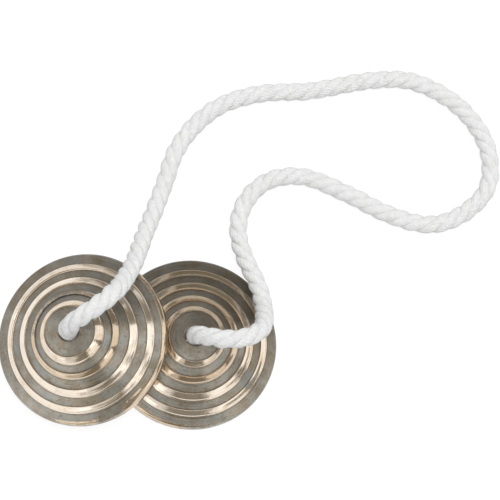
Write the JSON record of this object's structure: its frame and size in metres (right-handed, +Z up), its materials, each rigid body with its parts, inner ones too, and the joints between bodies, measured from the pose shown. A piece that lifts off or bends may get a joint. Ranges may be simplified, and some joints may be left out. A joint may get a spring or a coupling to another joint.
{
  "type": "manjira cymbals",
  "caption": "Pair of small cast bell-metal hand cymbals with stepped bosses and polished rings, joined by a twisted cotton cord that is knotted under each centre hole.",
  "frame": {"origin": "middle of the footprint of the two cymbals, on the table", "axes": "+X from the left, leaning cymbal to the right, flat one; +Y towards the side where the cord's loop lies; +Z up"},
  "size_m": [0.1797, 0.1311, 0.0438],
  "materials": {
    "bell_metal": "polished raised rings and lip, matte as-cast bands between them",
    "cotton": "soft matte twisted cord"
  },
  "bodies": {
    "cord_end_right": {"cord": "cotton", "knot_right": "cotton"},
    "cord_end_left": {"knot_left": "cotton"},
    "left_cymbal": {"cymbal_left": "bell_metal"},
    "right_cymbal": {"cymbal_right": "bell_metal"}
  },
  "joints": [
    {"name": "left_lift", "type": "slide", "parent": "cord_end_right", "child": "cord_end_left", "axis": [0, 0, 1], "range_m": [0, 0.035], "deforming": ["cord"]},
    {"name": "left_spin", "type": "hinge", "parent": "cord_end_left", "child": "left_cymbal", "pos_m": [-0.01921, 0, 0.0089], "axis": [-0.3029, 0, 0.953], "continuous": true},
    {"name": "right_spin", "type": "hinge", "parent": "cord_end_right", "child": "right_cymbal", "pos_m": [0.01849, 0, 0], "axis": [0, 0, 1], "continuous": true}
  ]
}
